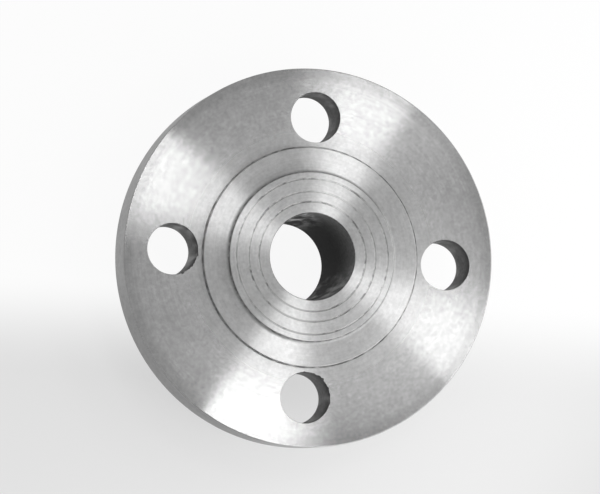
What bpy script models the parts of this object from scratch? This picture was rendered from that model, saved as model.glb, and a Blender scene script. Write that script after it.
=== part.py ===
"""Welding neck flange with a stepped raised face: a round plate with four bolt holes on a tapered neck.

The flange stands on the weld end of its neck, with its sealing face up and the bore along Z.
One profile is turned about Z, and the bolt holes are then drilled through the plate.
"""

import math

import bmesh
import bpy
from mathutils import Vector

# Plate, in metres
FLANGE_DIAMETER = 0.135
PLATE_THICKNESS = 0.016
RIM_CHAMFER = 0.0008

# Bolt holes: the bolt circle leaves the same wall between each hole and the rim
BOLT_COUNT = 4
BOLT_HOLE_DIAMETER = 0.018
BOLT_HOLE_RIM_WALL = 0.0085
BOLT_HOLE_CHAMFER = 0.0003
BOLT_CIRCLE_DIAMETER = FLANGE_DIAMETER - BOLT_HOLE_DIAMETER - 2 * BOLT_HOLE_RIM_WALL

# Sealing face: a low outer step, then a higher inner one that carries the water lines
OUTER_STEP_DIAMETER = 0.078
OUTER_STEP_HEIGHT = 0.001
OUTER_STEP_RELIEF_WIDTH = 0.0006
OUTER_STEP_RELIEF_DEPTH = 0.0003
INNER_STEP_DIAMETER = 0.060
INNER_STEP_HEIGHT = 0.002
INNER_STEP_FOOT_RADIUS = 0.0014
STEP_EDGE_BREAK = 0.0002
WATER_LINE_DIAMETERS = (0.0390, 0.0463, 0.0554)
WATER_LINE_WIDTH = 0.0006
WATER_LINE_DEPTH = 0.0003

# Bore and neck
BORE_DIAMETER = 0.031
BORE_EDGE_BREAK = 0.0003
NECK_LENGTH = 0.028
NECK_FOOT_DIAMETER = 0.056
NECK_FOOT_RADIUS = 0.005
WELD_END_DIAMETER = 0.038
WELD_END_LAND = 0.007
LAND_BLEND_RADIUS = 0.008
WELD_BEVEL_ANGLE = math.radians(37.5)
WELD_ROOT_FACE = 0.0015

# Heights that follow from the sizes above
PLATE_BACK = NECK_LENGTH
PLATE_FRONT = PLATE_BACK + PLATE_THICKNESS
OUTER_STEP_TOP = PLATE_FRONT + OUTER_STEP_HEIGHT
FACE_TOP = OUTER_STEP_TOP + INNER_STEP_HEIGHT

FLANGE_STEPS = 96
HOLE_STEPS = 48
ARC_SEGMENTS = 5
MERGE_DISTANCE = 0.00001
DRILL_OVERRUN = 0.004
SHARP_ANGLE = math.radians(25)

STEEL_COLOUR = (0.52, 0.53, 0.54, 1.0)
STEEL_ROUGHNESS = 0.34


def clear_scene():
    for item in list(bpy.data.objects):
        bpy.data.objects.remove(item, do_unlink=True)


def new_collection(name):
    collection = bpy.data.collections.new(name)
    bpy.context.scene.collection.children.link(collection)
    return collection


def steel():
    material = bpy.data.materials.new("turned_steel")
    material.use_nodes = True
    shader = material.node_tree.nodes["Principled BSDF"]
    shader.inputs["Base Color"].default_value = STEEL_COLOUR
    shader.inputs["Metallic"].default_value = 1.0
    shader.inputs["Roughness"].default_value = STEEL_ROUGHNESS
    return material


def rounded(before, corner, after, radius):
    """Points of the arc that rounds a corner of the profile, tangent to both of its sides."""
    corner = Vector(corner)
    to_before = (Vector(before) - corner).normalized()
    to_after = (Vector(after) - corner).normalized()
    half_angle = to_before.angle(to_after) / 2
    centre = corner + (to_before + to_after).normalized() * radius / math.sin(half_angle)
    reach = radius / math.tan(half_angle)
    start = corner + to_before * reach - centre
    end = corner + to_after * reach - centre
    clockwise_sweep = start.angle_signed(end)
    points = []
    for step in range(ARC_SEGMENTS + 1):
        turn = -clockwise_sweep * step / ARC_SEGMENTS
        x = start.x * math.cos(turn) - start.y * math.sin(turn)
        y = start.x * math.sin(turn) + start.y * math.cos(turn)
        points.append((centre.x + x, centre.y + y))
    return points


def water_lines():
    """The V-shaped gasket grooves in the face, from the bore outwards."""
    points = []
    for diameter in sorted(WATER_LINE_DIAMETERS):
        middle = diameter / 2
        points.append((middle - WATER_LINE_WIDTH / 2, FACE_TOP))
        points.append((middle, FACE_TOP - WATER_LINE_DEPTH))
        points.append((middle + WATER_LINE_WIDTH / 2, FACE_TOP))
    return points


def sealing_face():
    """From the bore's edge over the water lines and down both steps to the plate's front."""
    inner = INNER_STEP_DIAMETER / 2
    outer = OUTER_STEP_DIAMETER / 2
    foot = (inner, OUTER_STEP_TOP)
    points = [(BORE_DIAMETER / 2 + BORE_EDGE_BREAK, FACE_TOP)]
    points += water_lines()
    points += [(inner - STEP_EDGE_BREAK, FACE_TOP), (inner, FACE_TOP - STEP_EDGE_BREAK)]
    points += rounded((inner, FACE_TOP), foot, (outer, OUTER_STEP_TOP), INNER_STEP_FOOT_RADIUS)
    points += [(outer - STEP_EDGE_BREAK, OUTER_STEP_TOP), (outer, OUTER_STEP_TOP - STEP_EDGE_BREAK)]
    points += [(outer, PLATE_FRONT - OUTER_STEP_RELIEF_DEPTH)]
    points += [(outer + OUTER_STEP_RELIEF_WIDTH, PLATE_FRONT)]
    return points


def plate_rim():
    rim = FLANGE_DIAMETER / 2
    return [
        (rim - RIM_CHAMFER, PLATE_FRONT),
        (rim, PLATE_FRONT - RIM_CHAMFER),
        (rim, PLATE_BACK + RIM_CHAMFER),
        (rim - RIM_CHAMFER, PLATE_BACK),
    ]


def neck():
    """From the plate's back down the taper to the bevelled weld end."""
    rim = (FLANGE_DIAMETER / 2, PLATE_BACK)
    foot = (NECK_FOOT_DIAMETER / 2, PLATE_BACK)
    land = (WELD_END_DIAMETER / 2, WELD_END_LAND)
    bore = BORE_DIAMETER / 2
    wall = WELD_END_DIAMETER / 2 - bore
    bevel_height = (wall - WELD_ROOT_FACE) * math.tan(WELD_BEVEL_ANGLE)
    bevel = (WELD_END_DIAMETER / 2, bevel_height)
    points = rounded(rim, foot, land, NECK_FOOT_RADIUS)
    points += rounded(foot, land, bevel, LAND_BLEND_RADIUS)
    points += [bevel, (bore + WELD_ROOT_FACE, 0), (bore, 0)]
    return points


def turned_profile():
    """The flange's half section, down its outer side from the bore's upper edge and back up the bore."""
    bore_edge = (BORE_DIAMETER / 2, FACE_TOP - BORE_EDGE_BREAK)
    return [bore_edge] + sealing_face() + plate_rim() + neck()


def turned(name, profile, steps, collection):
    """A solid turned about Z from its half section, a loop of (radius, height) points.

    A section that starts and ends on the axis is left open there.
    """
    shape = bmesh.new()
    corners = [shape.verts.new((radius, 0, height)) for radius, height in profile]
    for start, end in zip(corners, corners[1:]):
        shape.edges.new((start, end))
    if profile[0][0] > 0:
        shape.edges.new((corners[-1], corners[0]))
    mesh = bpy.data.meshes.new(name)
    shape.to_mesh(mesh)
    shape.free()
    solid = bpy.data.objects.new(name, mesh)
    collection.objects.link(solid)
    turning = solid.modifiers.new("Turning", "SCREW")
    turning.axis = "Z"
    turning.angle = math.tau
    turning.steps = steps
    turning.render_steps = steps
    turning.use_merge_vertices = True
    turning.merge_threshold = MERGE_DISTANCE
    return solid


def drill(collection):
    """A drill for one bolt hole, with a countersink at each face that breaks the hole's edge."""
    radius = BOLT_HOLE_DIAMETER / 2
    mouth = radius + BOLT_HOLE_CHAMFER
    profile = [
        (0, PLATE_FRONT + DRILL_OVERRUN),
        (mouth, PLATE_FRONT + DRILL_OVERRUN),
        (mouth, PLATE_FRONT),
        (radius, PLATE_FRONT - BOLT_HOLE_CHAMFER),
        (radius, PLATE_BACK + BOLT_HOLE_CHAMFER),
        (mouth, PLATE_BACK),
        (mouth, PLATE_BACK - DRILL_OVERRUN),
        (0, PLATE_BACK - DRILL_OVERRUN),
    ]
    cutter = turned("bolt_hole_drill", profile, HOLE_STEPS, collection)
    cutter.hide_render = True
    cutter.display_type = "WIRE"
    return cutter


def bolt_hole_drills(collection):
    """One drill per bolt hole, evenly spaced round the bolt circle from +X."""
    first = drill(collection)
    drills = [first]
    for _ in range(BOLT_COUNT - 1):
        copy = first.copy()
        collection.objects.link(copy)
        drills.append(copy)
    for index, cutter in enumerate(drills):
        angle = math.tau * index / BOLT_COUNT
        reach = BOLT_CIRCLE_DIAMETER / 2
        cutter.location = (reach * math.cos(angle), reach * math.sin(angle), 0)
    return drills


def settle(flange):
    """Makes the turned and drilled shape a plain mesh, shaded smooth between its sharp edges."""
    graph = bpy.context.evaluated_depsgraph_get()
    mesh = bpy.data.meshes.new_from_object(flange.evaluated_get(graph))
    flange.modifiers.clear()
    flange.data = mesh
    mesh.name = "flange"
    mesh.shade_smooth()
    mesh.set_sharp_from_angle(angle=SHARP_ANGLE)


def main():
    clear_scene()
    flange_parts = new_collection("flange_parts")
    cutters = new_collection("cutters")
    flange = turned("flange", turned_profile(), FLANGE_STEPS, flange_parts)
    flange.data.materials.append(steel())
    for number, cutter in enumerate(bolt_hole_drills(cutters), start=1):
        hole = flange.modifiers.new(f"Bolt hole {number}", "BOOLEAN")
        hole.operation = "DIFFERENCE"
        hole.solver = "EXACT"
        hole.object = cutter
    settle(flange)


main()
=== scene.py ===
"""Looks of the welding neck flange: finely turned steel with water lines, standing on a pale floor.

Sizes are in metres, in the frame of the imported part: the bore runs along Z, the weld end stands on
the floor and +X passes through a bolt hole. The flange is turned again here with a finer section, so
that its edges, grooves and steps are real shapes, and each of its surfaces gets its own finish.
"""

import math

import bmesh
import bpy
from mathutils import Matrix, Vector, noise


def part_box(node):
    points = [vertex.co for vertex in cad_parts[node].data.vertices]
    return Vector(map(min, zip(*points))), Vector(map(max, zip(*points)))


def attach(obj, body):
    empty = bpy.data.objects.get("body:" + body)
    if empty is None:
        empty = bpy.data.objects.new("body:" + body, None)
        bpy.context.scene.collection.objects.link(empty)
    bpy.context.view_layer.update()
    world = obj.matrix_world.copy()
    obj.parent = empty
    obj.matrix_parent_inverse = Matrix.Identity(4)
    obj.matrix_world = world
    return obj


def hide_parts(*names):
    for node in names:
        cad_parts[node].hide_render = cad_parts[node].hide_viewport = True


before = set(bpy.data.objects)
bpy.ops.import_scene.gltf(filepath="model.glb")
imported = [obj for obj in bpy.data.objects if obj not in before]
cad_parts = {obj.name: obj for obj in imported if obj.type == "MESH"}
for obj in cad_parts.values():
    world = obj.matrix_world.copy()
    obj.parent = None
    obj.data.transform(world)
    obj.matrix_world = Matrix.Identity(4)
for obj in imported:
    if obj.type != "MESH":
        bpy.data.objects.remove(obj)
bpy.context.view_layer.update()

NODE = "flange"
BODY = "root"

# What the frame gives: the flange's radius, and the height of its sealing face over the weld end
HIGHEST_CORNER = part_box(NODE)[1]
RIM_RADIUS = HIGHEST_CORNER.x
FACE_TOP = HIGHEST_CORNER.z

# The section, as in the part
PLATE_THICKNESS = 0.016
INNER_STEP_HEIGHT = 0.002
OUTER_STEP_HEIGHT = 0.001
OUTER_STEP_TOP = FACE_TOP - INNER_STEP_HEIGHT
PLATE_FRONT = OUTER_STEP_TOP - OUTER_STEP_HEIGHT
PLATE_BACK = PLATE_FRONT - PLATE_THICKNESS
INNER_STEP_RADIUS = 0.030
INNER_STEP_FOOT_RADIUS = 0.0014
OUTER_STEP_RADIUS = 0.039
OUTER_STEP_RELIEF_WIDTH = 0.0006
OUTER_STEP_RELIEF_DEPTH = 0.0003
RELIEF_END = OUTER_STEP_RADIUS + OUTER_STEP_RELIEF_WIDTH
STEP_EDGE_ROUND = 0.0003
RIM_EDGE_ROUND = 0.0004
BORE_RADIUS = 0.0155
BORE_EDGE_ROUND = 0.0004
WATER_LINE_RADII = (0.0195, 0.02315, 0.0277)
WATER_LINE_WIDTH = 0.0007
WATER_LINE_FLOOR = 0.0003
WATER_LINE_DEPTH = 0.00012
NECK_FOOT_RADIUS_AT_PLATE = 0.028
NECK_FILLET = 0.005
WELD_END_RADIUS = 0.019
WELD_END_LAND = 0.007
LAND_BLEND_RADIUS = 0.008
WELD_BEVEL_ANGLE = math.radians(37.5)
WELD_ROOT_FACE = 0.0015

BOLT_COUNT = 4
BOLT_CIRCLE_RADIUS = 0.050
BOLT_HOLE_RADIUS = 0.009
BOLT_HOLE_CHAMFER = 0.00012
DRILL_OVERRUN = 0.004

# Chips in the front edge of two of the holes, and the side on which each of these holes has them
CHIP_SIDES = {2: math.radians(305), 3: math.radians(50)}
CHIP_SIZE = 0.0009
CHIP_DEPTH = 0.0003
CHIP_PITCH = 0.0011

TURN_STEPS = 288
HOLE_STEPS = 216
ARC_SEGMENTS = 10
ARC_MARGIN = 0.0001
SHARP_ANGLE = math.radians(11)
MERGE_DISTANCE = 0.00001

# Where most of a noise's values lie
NOISE_RANGE = (0.3, 0.7)

# The turned steel: how far its marks draw a highlight out, a darker band beside the rim, and the painted
# shade in the corner at the inner step's foot
MARK_STRENGTH = 0.8
RIM_BAND = (0.0625, 0.0655)
RIM_BAND_TONE = 0.88
CORNER_SHADE_TONE = 0.5

# What varies its tone: marks, by pitch across the turning, length along it in turns and strength, and
# grains, by scale, detail and strength
TURNING_MARKS = ((0.00022, 0.5, 0.03), (0.0006, 0.03, 0.04))
GRAINS = ((900.0, 2.0, 0.08), (380.0, 2.0, 0.05), (90.0, 3.0, 0.03))

# Grime and painted shade in the grooves and on the step walls: their colour is darkened partly as grime and
# partly as painted shade in these recesses. It lies in dashes, and in the water lines it is also thin over
# longer stretches, but darkens them fully on one side. The ranges are those of the noise, and of the
# nearness to that side, over which the darkening changes.
SCORED_ROUGHNESS = 0.28
DASH_PITCH = 0.0012
DASH_DETAIL = 3.0
DASH_RANGE = (0.4, 0.6)
STRETCH_PITCH = 0.003
STRETCH_LENGTH = 0.06
STRETCH_RANGE = (0.38, 0.62)
STRETCH_THIN = 0.1
FILLED_ANGLE = math.radians(262)
FILLED_RANGE = (0.8, 0.97)
FILLED_SHARE = 0.6

# Dark scale on the walls of the bore and the bolt holes, and the bare smears in it. In the bore they lie at
# one angle, and fewer of them on the opposite side: there they are partly bare wear and partly a painted
# highlight.
SCALE_ROUGHNESS = 0.65
SCALE_SPECULAR = 0.05
SCALE_GRAIN_SIZE = 900.0
SCALE_GRAIN = 0.2
SMEAR_SIZE = (250, 250, 70)
SMEAR_DETAIL = 4.0
SMEAR_RANGE = (0.42, 0.7)
SMEAR_ROUGHNESS = 0.45
SMEAR_METAL = 0.7
BORE_SMEAR_AND_HIGHLIGHT_ANGLE = math.radians(125)
BORE_SMEAR_AND_HIGHLIGHT_RANGE = (0.3, 0.9)
BORE_SMEAR_AND_HIGHLIGHT_OPPOSITE = 0.6

# The camera, from the circles in the photograph: it looks down on the sealing face from a little left
VIEW_TILT = math.radians(14.92)
VIEW_AZIMUTH = math.radians(200.33)
VIEW_ROLL = math.radians(2.25)
VIEW_DISTANCE = 1.0871
VIEW_OFFSET_RIGHT = 0.00371
VIEW_OFFSET_DOWN = 0.00356
VIEW_LENS = 183.65
VIEW_SENSOR = 36.0
VIEW_NEAREST = 0.01
VIEW_FARTHEST = 20

# The light: a plain studio, four softboxes over the flange, a weak one beside the first that softens its
# edge, and a fill low at the flange's lower right
WORLD_STRENGTH = 0.6
SOFTBOX_HEIGHT = 1.2
SOFTBOXES = {
    "upper_right": {"edge": 54.5, "near": 0.197, "far": 0.465, "width": 0.175, "power": 0.44},
    "upper_left": {"edge": 142.3, "near": 0.223, "far": 0.443, "width": 0.180, "power": 0.72},
    "lower_left": {"edge": 238.0, "near": 0.197, "far": 0.465, "width": 0.190, "power": 1.08},
    "lower_right": {"edge": 323.0, "near": 0.223, "far": 0.443, "width": 0.150, "power": 0.34},
    "spill": {"edge": 54.5, "near": 0.197, "far": 0.465, "width": -0.12, "power": 0.12},
}
FILL_ANGLE = math.radians(330)
FILL_REACH = 0.13
FILL_HEIGHT = 0.11
FILL_LENGTH = 0.45
FILL_WIDTH = 0.11
FILL_POWER = 0.22

FLOOR_SIZE = 8
FLOOR_GAP = 0.0002
FLOOR_TONE = 0.9
FLOOR_ROUGHNESS = 0.9

# The floor's own glow, for the camera: its share of the floor's look and its strength. Behind the flange
# it is almost white, and in front it is weaker and greyer, so that shadows show.
GLOW_BACK_Y = -0.008
GLOW_BACK_SHARE = 0.92
GLOW_BACK_STRENGTH = 1.0
GLOW_FRONT_Y = -0.045
GLOW_FRONT_SHARE = 0.65
GLOW_FRONT_STRENGTH = 0.77

# Round the neck's end only this share of the glow is left, so that the flange's own shadow shows there
NECK_SHADE_SHARE = 0.2
NECK_SHADE_END = 0.033


def rounded(before, corner, after, radius):
    """Points of the arc that rounds a corner of the section, tangent to both of its sides.

    One more point lies on each side, just off the arc, so that the flat faces beside it stay flat in the
    shading as well.
    """
    corner = Vector(corner)
    to_before = (Vector(before) - corner).normalized()
    to_after = (Vector(after) - corner).normalized()
    half_angle = to_before.angle(to_after) / 2
    centre = corner + (to_before + to_after).normalized() * radius / math.sin(half_angle)
    reach = radius / math.tan(half_angle)
    start = corner + to_before * reach - centre
    end = corner + to_after * reach - centre
    clockwise_sweep = start.angle_signed(end)
    points = [tuple(corner + to_before * (reach + ARC_MARGIN))]
    for step in range(ARC_SEGMENTS + 1):
        turn = -clockwise_sweep * step / ARC_SEGMENTS
        x = start.x * math.cos(turn) - start.y * math.sin(turn)
        y = start.x * math.sin(turn) + start.y * math.cos(turn)
        points.append((centre.x + x, centre.y + y))
    points.append(tuple(corner + to_after * (reach + ARC_MARGIN)))
    return points


def water_lines():
    """The gasket grooves in the face, with slanting sides and a narrow floor."""
    points = []
    for middle in WATER_LINE_RADII:
        points.append((middle - WATER_LINE_WIDTH / 2, FACE_TOP))
        points.append((middle - WATER_LINE_FLOOR / 2, FACE_TOP - WATER_LINE_DEPTH))
        points.append((middle + WATER_LINE_FLOOR / 2, FACE_TOP - WATER_LINE_DEPTH))
        points.append((middle + WATER_LINE_WIDTH / 2, FACE_TOP))
    return points


def sealing_face():
    """From the bore's rounded edge over the water lines and down both steps to the plate's front."""
    inner = INNER_STEP_RADIUS
    outer = OUTER_STEP_RADIUS
    foot = (inner, OUTER_STEP_TOP)
    relief = (outer, PLATE_FRONT - OUTER_STEP_RELIEF_DEPTH)
    points = rounded((BORE_RADIUS, 0), (BORE_RADIUS, FACE_TOP), (inner, FACE_TOP), BORE_EDGE_ROUND)
    points += water_lines()
    points += rounded((BORE_RADIUS, FACE_TOP), (inner, FACE_TOP), foot, STEP_EDGE_ROUND)
    points += rounded((inner, FACE_TOP), foot, (outer, OUTER_STEP_TOP), INNER_STEP_FOOT_RADIUS)
    points += rounded(foot, (outer, OUTER_STEP_TOP), relief, STEP_EDGE_ROUND)
    points += [relief, (RELIEF_END, PLATE_FRONT)]
    return points


def plate_rim():
    """Round the plate's rim, from its front to its back."""
    front = (RIM_RADIUS, PLATE_FRONT)
    back = (RIM_RADIUS, PLATE_BACK)
    points = rounded((0, PLATE_FRONT), front, back, RIM_EDGE_ROUND)
    points += rounded(front, back, (0, PLATE_BACK), RIM_EDGE_ROUND)
    return points


def neck():
    """From the plate's back down the taper to the bevelled weld end."""
    rim = (RIM_RADIUS, PLATE_BACK)
    foot = (NECK_FOOT_RADIUS_AT_PLATE, PLATE_BACK)
    land = (WELD_END_RADIUS, WELD_END_LAND)
    wall = WELD_END_RADIUS - BORE_RADIUS
    bevel = (WELD_END_RADIUS, (wall - WELD_ROOT_FACE) * math.tan(WELD_BEVEL_ANGLE))
    points = rounded(rim, foot, land, NECK_FILLET)
    points += rounded(foot, land, bevel, LAND_BLEND_RADIUS)
    points += [bevel, (BORE_RADIUS + WELD_ROOT_FACE, 0), (BORE_RADIUS, 0)]
    return points


def turned(name, profile, steps):
    """A closed solid turned about Z from its half section, a loop of (radius, height) points."""
    shape = bmesh.new()
    corners = [shape.verts.new((radius, 0, height)) for radius, height in profile]
    edges = [shape.edges.new(pair) for pair in zip(corners, corners[1:])]
    if profile[0][0] > 0:
        edges.append(shape.edges.new((corners[-1], corners[0])))
    section = corners + edges
    axis = (0, 0, 1)
    centre = (0, 0, 0)
    bmesh.ops.spin(
        shape, geom=section, axis=axis, cent=centre, angle=math.tau, steps=steps, use_merge=True
    )
    bmesh.ops.remove_doubles(shape, verts=shape.verts, dist=MERGE_DISTANCE)
    bmesh.ops.recalc_face_normals(shape, faces=shape.faces)
    mesh = bpy.data.meshes.new(name)
    shape.to_mesh(mesh)
    shape.free()
    solid = bpy.data.objects.new(name, mesh)
    bpy.context.scene.collection.objects.link(solid)
    return solid


def drill(chip_side):
    """A drill for a bolt hole. Where chips lie at one side of the hole's front edge, it is uneven."""
    radius = BOLT_HOLE_RADIUS
    mouth = radius + BOLT_HOLE_CHAMFER
    profile = [
        (0, PLATE_FRONT + DRILL_OVERRUN),
        (mouth, PLATE_FRONT + DRILL_OVERRUN),
        (mouth, PLATE_FRONT),
        (mouth, PLATE_FRONT - CHIP_DEPTH),
        (radius, PLATE_FRONT - CHIP_DEPTH - BOLT_HOLE_CHAMFER),
        (radius, PLATE_BACK + BOLT_HOLE_CHAMFER),
        (mouth, PLATE_BACK),
        (mouth, PLATE_BACK - DRILL_OVERRUN),
        (0, PLATE_BACK - DRILL_OVERRUN),
    ]
    cutter = turned("bolt_hole_drill", profile, HOLE_STEPS)
    if chip_side is None:
        return cutter
    lowest_chip = PLATE_FRONT - CHIP_DEPTH - MERGE_DISTANCE
    for vertex in cutter.data.vertices:
        reach = vertex.co.xy.length
        if vertex.co.z > lowest_chip and reach > radius:
            nearness = max(0.0, math.cos(math.atan2(vertex.co.y, vertex.co.x) - chip_side))
            size = max(0.0, noise.noise(vertex.co.xy.to_3d() / CHIP_PITCH)) * CHIP_SIZE
            vertex.co.xy = vertex.co.xy * (1 + size * nearness / reach)
    return cutter


def bolt_hole_axes():
    """The bolt holes' centres, seen along Z."""
    for index in range(BOLT_COUNT):
        angle = math.tau * index / BOLT_COUNT
        yield Vector((BOLT_CIRCLE_RADIUS * math.cos(angle), BOLT_CIRCLE_RADIUS * math.sin(angle)))


def merge_doubles(mesh):
    """Joins corners that lie in one place, which the cuts leave where two edges meet."""
    shape = bmesh.new()
    shape.from_mesh(mesh)
    bmesh.ops.remove_doubles(shape, verts=shape.verts, dist=MERGE_DISTANCE)
    shape.to_mesh(mesh)
    shape.free()


def cut_bolt_holes(flange):
    """Drills the holes and gives the flange its finished mesh as plain geometry."""
    drills = []
    for index, axis in enumerate(bolt_hole_axes()):
        cutter = drill(CHIP_SIDES.get(index))
        cutter.location = (axis.x, axis.y, 0)
        hole = flange.modifiers.new("Bolt hole", "BOOLEAN")
        hole.operation = "DIFFERENCE"
        hole.solver = "EXACT"
        hole.object = cutter
        drills.append(cutter)
    graph = bpy.context.evaluated_depsgraph_get()
    mesh = bpy.data.meshes.new_from_object(flange.evaluated_get(graph))
    merge_doubles(mesh)
    flange.modifiers.clear()
    flange.data = mesh
    for used in drills:
        bpy.data.objects.remove(used, do_unlink=True)


class Nodes:
    """A material's node tree, with short ways to add and join nodes."""

    def __init__(self, name):
        self.material = bpy.data.materials.new(name)
        self.material.use_nodes = True
        self.tree = self.material.node_tree
        self.shader = self.tree.nodes["Principled BSDF"]

    def add(self, kind, inputs=None, **settings):
        node = self.tree.nodes.new(kind)
        for name, value in settings.items():
            setattr(node, name, value)
        for name, value in (inputs or {}).items():
            self.join(value, node.inputs[name])
        return node

    def join(self, value, socket):
        if isinstance(value, bpy.types.NodeSocket):
            self.tree.links.new(value, socket)
        else:
            socket.default_value = value

    def finish(self, **inputs):
        """Sets the shader's sockets, whose names are written with underscores here."""
        for name, value in inputs.items():
            self.join(value, self.shader.inputs[name.replace("_", " ")])
        return self.material

    def show(self, shader):
        """Makes this shader the one that the surface shows."""
        self.join(shader.outputs[0], self.tree.nodes["Material Output"].inputs["Surface"])
        return self.material

    def math(self, operation, a, b=0.0):
        return self.add("ShaderNodeMath", {0: a, 1: b}, operation=operation).outputs[0]

    def product(self, *factors):
        result = factors[0]
        for factor in factors[1:]:
            result = self.math("MULTIPLY", result, factor)
        return result

    def greatest(self, *values):
        result = values[0]
        for value in values[1:]:
            result = self.math("MAXIMUM", result, value)
        return result

    def length(self, vector):
        return self.add("ShaderNodeVectorMath", {0: vector}, operation="LENGTH").outputs["Value"]

    def remap(self, value, low, high, to_low, to_high, smooth=False):
        inputs = {"Value": value, "From Min": low, "From Max": high, "To Min": to_low, "To Max": to_high}
        kind = "SMOOTHSTEP" if smooth else "LINEAR"
        return self.add("ShaderNodeMapRange", inputs, interpolation_type=kind).outputs[0]

    def noise(self, vector, scale, detail=2.0):
        inputs = {"Vector": vector, "Scale": scale, "Detail": detail}
        return self.add("ShaderNodeTexNoise", inputs).outputs["Fac"]

    def varied(self, values, strength):
        """A factor round 1 that these noise values move up and down by this strength."""
        return self.remap(values, *NOISE_RANGE, 1 - strength, 1 + strength)

    def grey(self, tone):
        """A neutral colour of this tone."""
        return self.add("ShaderNodeCombineXYZ", {0: tone, 1: tone, 2: tone}).outputs[0]


class Turning:
    """Where a point lies in the turned section: its radius, its height, and its direction round Z."""

    def __init__(self, nodes):
        self.nodes = nodes
        self.position = nodes.add("ShaderNodeTexCoord").outputs["Object"]
        parts = nodes.add("ShaderNodeSeparateXYZ", {0: self.position})
        flat = nodes.add("ShaderNodeCombineXYZ", {0: parts.outputs[0], 1: parts.outputs[1]}).outputs[0]
        self.height = parts.outputs[2]
        self.radius = nodes.length(flat)
        self.around = nodes.add("ShaderNodeVectorMath", {0: flat}, operation="NORMALIZE").outputs[0]
        self.across = nodes.math("ADD", self.radius, self.height)

    def streaks(self, pitch, length, detail=2.0):
        """Noise drawn out along the turning, by its pitch across it and its length along it in turns."""
        add = self.nodes.add
        share = 1 / (length * math.tau)
        slow = add("ShaderNodeVectorMath", {0: self.around, "Scale": share}, operation="SCALE").outputs[0]
        fast = add("ShaderNodeCombineXYZ", {2: self.nodes.math("DIVIDE", self.across, pitch)}).outputs[0]
        place = add("ShaderNodeVectorMath", {0: slow, 1: fast}, operation="ADD").outputs[0]
        return self.nodes.noise(place, 1.0, detail)

    def facing(self, angle):
        """How near a point lies to this angle round the axis: 1 at it, and -1 on the opposite side."""
        inputs = {0: self.around, 1: (math.cos(angle), math.sin(angle), 0)}
        nearness = self.nodes.add("ShaderNodeVectorMath", inputs, operation="DOT_PRODUCT")
        return nearness.outputs["Value"]


def turned_surface(nodes, tone, roughness):
    """Sets a metal surface whose turning marks draw each highlight out across them."""
    tangent = nodes.add("ShaderNodeTangent", direction_type="RADIAL", axis="Z").outputs[0]
    gloss = {
        "Color": nodes.grey(tone),
        "Roughness": roughness,
        "Anisotropy": MARK_STRENGTH,
        "Tangent": tangent,
    }
    return nodes.show(nodes.add("ShaderNodeBsdfAnisotropic", gloss))


def turned_steel(name, tone, roughness, at_rim=None, corner_shade=False):
    """Steel straight off the lathe: fine rings, broken streaks and a sandy mottle.

    The plate's finish changes towards the tone and roughness at the rim, where the cut was finer, and a
    band beside the rim is darker. The corner shade is painted shade: a darker colour at the foot of the
    inner step.
    """
    nodes = Nodes(name)
    turning = Turning(nodes)
    radius = turning.radius
    if at_rim:
        rim_tone, rim_roughness = at_rim
        tone = nodes.product(
            nodes.remap(radius, OUTER_STEP_RADIUS, RIM_RADIUS, tone, rim_tone),
            nodes.remap(radius, *RIM_BAND, 1, RIM_BAND_TONE, smooth=True),
        )
        roughness = nodes.remap(radius, OUTER_STEP_RADIUS, RIM_RADIUS, roughness, rim_roughness)
    # Painted shade: the colour darkens towards the foot of the inner step
    if corner_shade:
        foot_end = INNER_STEP_RADIUS + INNER_STEP_FOOT_RADIUS
        shade = nodes.remap(radius, INNER_STEP_RADIUS, foot_end, CORNER_SHADE_TONE, 1, smooth=True)
        tone = nodes.product(tone, shade)
    factors = [
        nodes.varied(turning.streaks(pitch, length), strength)
        for pitch, length, strength in TURNING_MARKS
    ]
    factors += [
        nodes.varied(nodes.noise(turning.position, scale, detail), strength)
        for scale, detail, strength in GRAINS
    ]
    return turned_surface(nodes, nodes.product(*factors, tone), roughness)


def scored_steel(name, dark, light, dash_length, patchy=False):
    """A groove or step wall, darkened by grime and by painted shade, and broken by bright dashes.

    The dashes' length is in turns. In a patchy groove the darkening is also thin over longer stretches, but
    on one side it is unbroken.
    """
    nodes = Nodes(name)
    turning = Turning(nodes)
    # The darkening stands partly for grime and partly for painted shade in the recess
    grime_and_shade = nodes.remap(turning.streaks(DASH_PITCH, dash_length, DASH_DETAIL), *DASH_RANGE, 1, 0)
    if patchy:
        stretches = nodes.remap(
            turning.streaks(STRETCH_PITCH, STRETCH_LENGTH), *STRETCH_RANGE, STRETCH_THIN, 1
        )
        filled = nodes.remap(
            turning.facing(FILLED_ANGLE), *FILLED_RANGE, 0, FILLED_SHARE, smooth=True
        )
        grime_and_shade = nodes.greatest(nodes.product(grime_and_shade, stretches), filled)
    return turned_surface(nodes, nodes.remap(grime_and_shade, 0, 1, light, dark), SCORED_ROUGHNESS)


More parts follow.
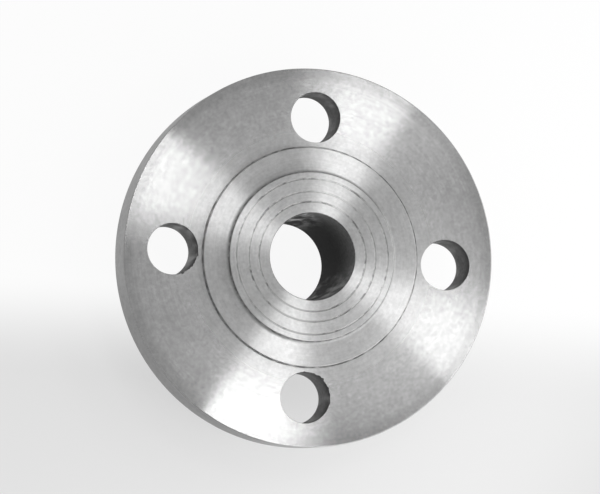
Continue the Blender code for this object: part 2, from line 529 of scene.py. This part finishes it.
def scaled_steel(name, scale_tone, bare_and_highlight_tone, at_mouth, below, mouth_depth, smear_and_highlight_angle=None):
    """A hole's wall under dark scale, rubbed bare in a few smears.

    The scale's tone is multiplied by one factor at the hole's mouth, and by another from the mouth's depth
    down; in the bore the darker factor deep down is painted shade. In the bore the smears lie at one angle
    and opposite it, partly bare wear and partly a painted highlight.
    """
    nodes = Nodes(name)
    turning = Turning(nodes)
    drawn = nodes.add("ShaderNodeVectorMath", {0: turning.position, 1: SMEAR_SIZE}, operation="MULTIPLY")
    smears = nodes.noise(drawn.outputs[0], 1.0, SMEAR_DETAIL)
    bare_and_highlight = nodes.remap(smears, *SMEAR_RANGE, 0, 1, smooth=True)
    # In the bore the bright smears are kept at one angle and opposite it: partly bare wear, partly a
    # painted highlight
    if smear_and_highlight_angle is not None:
        facing = turning.facing(smear_and_highlight_angle)
        nearness = nodes.greatest(facing, nodes.product(facing, -BORE_SMEAR_AND_HIGHLIGHT_OPPOSITE))
        bare_and_highlight = nodes.product(bare_and_highlight, nodes.remap(nearness, *BORE_SMEAR_AND_HIGHLIGHT_RANGE, 0, 1, smooth=True))
    # In the bore the factor below darkens the scale deep down: painted shade
    mouth_end = PLATE_FRONT - mouth_depth
    fading = nodes.remap(turning.height, mouth_end, PLATE_FRONT, below, at_mouth, smooth=True)
    grain = nodes.varied(nodes.noise(turning.position, SCALE_GRAIN_SIZE), SCALE_GRAIN)
    tone = nodes.remap(bare_and_highlight, 0, 1, nodes.product(fading, scale_tone), bare_and_highlight_tone)
    return nodes.finish(
        Base_Color=nodes.grey(nodes.product(tone, grain)),
        Metallic=nodes.product(bare_and_highlight, SMEAR_METAL),
        Roughness=nodes.remap(bare_and_highlight, 0, 1, SCALE_ROUGHNESS, SMEAR_ROUGHNESS),
        Specular_IOR_Level=SCALE_SPECULAR,
    )


def is_drilled(centre):
    """True on the bolt holes' walls and edges, between the plate's two faces."""
    within_plate = PLATE_BACK + MERGE_DISTANCE < centre.z < PLATE_FRONT - MERGE_DISTANCE
    reach = BOLT_HOLE_RADIUS + BOLT_HOLE_CHAMFER + CHIP_SIZE
    return within_plate and any((centre.xy - axis).length < reach for axis in bolt_hole_axes())


def is_inner_step_wall(radius, height):
    """True on the inner step's wall and on the steep part of its foot."""
    above_foot = OUTER_STEP_TOP < height < FACE_TOP - STEP_EDGE_ROUND
    return above_foot and abs(radius - INNER_STEP_RADIUS) < INNER_STEP_FOOT_RADIUS / 4


def is_relief(radius, height):
    """True on the outer step's wall and on the relief line round its foot."""
    below_top = PLATE_FRONT - OUTER_STEP_RELIEF_DEPTH < height < OUTER_STEP_TOP - STEP_EDGE_ROUND
    return below_top and OUTER_STEP_RADIUS - STEP_EDGE_ROUND < radius < RELIEF_END


def is_bore_edge(radius, height):
    """True on the steeper part of the bore's rounded edge."""
    return radius < BORE_RADIUS + BORE_EDGE_ROUND / 2 and height > FACE_TOP - BORE_EDGE_ROUND


def is_water_line(radius, height):
    """True on the sides and floors of the grooves in the sealing face."""
    in_face = BORE_RADIUS + BORE_EDGE_ROUND < radius < INNER_STEP_RADIUS - STEP_EDGE_ROUND
    return in_face and OUTER_STEP_TOP < height < FACE_TOP - WATER_LINE_DEPTH / 4


def finish_of(centre):
    """The name of the finish on the face of the mesh with this centre."""
    radius = centre.xy.length
    height = centre.z
    if is_bore_edge(radius, height):
        return "bore_edge"
    if radius < BORE_RADIUS + MERGE_DISTANCE:
        return "bore_wall"
    if is_drilled(centre):
        return "drilled_wall"
    if is_inner_step_wall(radius, height):
        return "inner_step_wall"
    if is_relief(radius, height):
        return "relief"
    if is_water_line(radius, height):
        return "water_line"
    if height > OUTER_STEP_TOP + INNER_STEP_HEIGHT / 2:
        return "sealing_face"
    if height > PLATE_FRONT + OUTER_STEP_HEIGHT / 2:
        return "outer_step"
    if radius > RIM_RADIUS - RIM_EDGE_ROUND / 3:
        return "rim"
    return "plate"


def dress(flange):
    """Gives each surface of the flange its finish."""
    finishes = {
        "plate": turned_steel("plate", tone=0.56, roughness=0.31, at_rim=(0.44, 0.132)),
        "rim": turned_steel("rim", tone=0.38, roughness=0.28),
        "outer_step": turned_steel("outer_step", tone=0.55, roughness=0.285, corner_shade=True),
        "sealing_face": turned_steel("sealing_face", tone=0.61, roughness=0.34),
        # The step walls, relief and water lines are darkened partly by grime and partly by painted shade
        "inner_step_wall": scored_steel("inner_step_wall", dark=0.2, light=0.4, dash_length=0.012),
        "relief": scored_steel("relief", dark=0.3, light=0.6, dash_length=0.012),
        "water_line": scored_steel("water_line", dark=0.24, light=0.55, dash_length=0.012, patchy=True),
        # The bore's rounded edge is darkened as a painted dark reflection
        "bore_edge": scored_steel("bore_edge", dark=0.1, light=0.25, dash_length=0.02),
        # The bore's scale is painted darker deep down, as painted shade, and its bright smears are partly a
        # painted highlight
        "bore_wall": scaled_steel(
            "bore_wall",
            scale_tone=0.17,
            bare_and_highlight_tone=0.7,
            at_mouth=1.0,
            below=0.2,
            mouth_depth=0.026,
            smear_and_highlight_angle=BORE_SMEAR_AND_HIGHLIGHT_ANGLE,
        ),
        "drilled_wall": scaled_steel(
            "drilled_wall", scale_tone=0.24, bare_and_highlight_tone=0.16, at_mouth=0.3, below=1.0, mouth_depth=0.008
        ),
    }
    mesh = flange.data
    mesh.materials.clear()
    for material in finishes.values():
        mesh.materials.append(material)
    order = list(finishes)
    for face in mesh.polygons:
        face.material_index = order.index(finish_of(face.center))
    mesh.shade_smooth()
    mesh.set_sharp_from_angle(angle=SHARP_ANGLE)


def make_flange():
    flange = turned("turned_flange", sealing_face() + plate_rim() + neck(), TURN_STEPS)
    cut_bolt_holes(flange)
    dress(flange)
    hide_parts(NODE)
    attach(flange, BODY)


def glow_share(nodes, point, sweep):
    """The glow's share of what the camera, metal or glass sees of the floor.

    It is weak round the neck, but not in the floor that shows through the bore. The step between the two
    lies under the neck's root face, where nothing sees it.
    """
    path = nodes.add("ShaderNodeLightPath").outputs
    radius = nodes.length(point)
    under_root = (BORE_RADIUS + WELD_ROOT_FACE / 3, BORE_RADIUS + WELD_ROOT_FACE * 2 / 3)
    within_bore = nodes.remap(radius, *under_root, 1, 0)
    round_neck = nodes.remap(radius, WELD_END_RADIUS, NECK_SHADE_END, NECK_SHADE_SHARE, 1, smooth=True)
    return nodes.product(
        nodes.greatest(path["Is Camera Ray"], path["Is Glossy Ray"], path["Is Transmission Ray"]),
        nodes.greatest(within_bore, round_neck),
        nodes.remap(sweep, 0, 1, GLOW_FRONT_SHARE, GLOW_BACK_SHARE),
    )


def make_floor():
    """A pale floor that looks nearly white itself and still takes the flange's soft shadow."""
    bpy.ops.mesh.primitive_plane_add(size=FLOOR_SIZE, location=(0, 0, -FLOOR_GAP))
    floor = bpy.context.object
    floor.name = "floor"
    nodes = Nodes("pale_floor")
    colour = (FLOOR_TONE, FLOOR_TONE, FLOOR_TONE, 1)
    material = nodes.finish(Base_Color=colour, Roughness=FLOOR_ROUGHNESS)
    point = nodes.add("ShaderNodeTexCoord").outputs["Object"]
    depth = nodes.add("ShaderNodeSeparateXYZ", {0: point}).outputs[1]
    sweep = nodes.remap(depth, GLOW_FRONT_Y, GLOW_BACK_Y, 0, 1, smooth=True)
    strength = nodes.remap(sweep, 0, 1, GLOW_FRONT_STRENGTH, GLOW_BACK_STRENGTH)
    glow = nodes.add("ShaderNodeEmission", {"Color": (1, 1, 1, 1), "Strength": strength}).outputs[0]
    share = glow_share(nodes, point, sweep)
    nodes.show(nodes.add("ShaderNodeMixShader", {0: share, 1: nodes.shader.outputs[0], 2: glow}))
    floor.data.materials.append(material)


def view_axes():
    """The camera's right, up and back directions."""
    flat = math.sin(VIEW_TILT)
    back = Vector((flat * math.cos(VIEW_AZIMUTH), flat * math.sin(VIEW_AZIMUTH), math.cos(VIEW_TILT)))
    upright = Vector((-math.sin(VIEW_ROLL), math.cos(VIEW_ROLL), 0))
    right = upright.cross(back).normalized()
    return right, back.cross(right), back


def place(item, location, x_axis, y_axis, z_axis):
    """Adds a camera or lamp to the scene with its own axes along these directions."""
    turn = Matrix((x_axis, y_axis, z_axis)).transposed()
    item.location = location
    item.rotation_mode = "QUATERNION"
    item.rotation_quaternion = turn.to_quaternion()
    bpy.context.scene.collection.objects.link(item)


def make_camera():
    right, up, back = view_axes()
    data = bpy.data.cameras.new("camera")
    data.lens = VIEW_LENS
    data.sensor_width = VIEW_SENSOR
    data.clip_start = VIEW_NEAREST
    data.clip_end = VIEW_FARTHEST
    camera = bpy.data.objects.new("camera", data)
    plate_centre = Vector((0, 0, PLATE_FRONT))
    location = plate_centre + back * VIEW_DISTANCE - right * VIEW_OFFSET_RIGHT + up * VIEW_OFFSET_DOWN
    place(camera, location, right, up, back)
    bpy.context.scene.camera = camera


def area_lamp(name, length, width, power):
    data = bpy.data.lights.new(name, "AREA")
    data.shape = "RECTANGLE"
    data.size = length
    data.size_y = width
    data.energy = power
    lamp = bpy.data.objects.new(name, data)
    lamp.visible_camera = False
    return lamp


def softbox(name, edge, near, far, width, power):
    """A rectangular lamp over the flange, to one side of a line that starts at the camera's mirror point.

    The turned rings spread each light into two opposite sectors. The line runs out at the edge's angle, so
    both sectors begin sharply at that angle and fade over the lamp's width. A width below zero puts the
    lamp on the line's other side.
    """
    back = view_axes()[2]
    mirror = Vector((-back.x, -back.y, back.z))
    mirror_point = Vector((0, 0, FACE_TOP)) + mirror * (SOFTBOX_HEIGHT / mirror.z)
    angle = math.radians(edge)
    along = Vector((math.cos(angle), math.sin(angle), 0))
    side = Vector((-along.y, along.x, 0))
    lamp = area_lamp(name, far - near, abs(width), power)
    location = mirror_point + along * (near + far) / 2 + side * width / 2
    place(lamp, location, along, side, Vector((0, 0, 1)))


def fill_lamp():
    """A low lamp close to the flange's lower right rim, turned towards the sealing face."""
    lamp = area_lamp("fill", FILL_LENGTH, FILL_WIDTH, FILL_POWER)
    location = Vector((FILL_REACH * math.cos(FILL_ANGLE), FILL_REACH * math.sin(FILL_ANGLE), FILL_HEIGHT))
    back = (location - Vector((0, 0, FACE_TOP))).normalized()
    side = Vector((0, 0, 1)).cross(back).normalized()
    place(lamp, location, side, back.cross(side), back)


def make_lights():
    world = bpy.data.worlds.new("studio")
    world.use_nodes = True
    background = world.node_tree.nodes["Background"]
    background.inputs["Color"].default_value = (1, 1, 1, 1)
    background.inputs["Strength"].default_value = WORLD_STRENGTH
    bpy.context.scene.world = world
    for name, settings in SOFTBOXES.items():
        softbox(name, **settings)
    fill_lamp()


make_camera()
make_flange()
make_floor()
make_lights()
bpy.context.scene.view_settings.view_transform = "Standard"
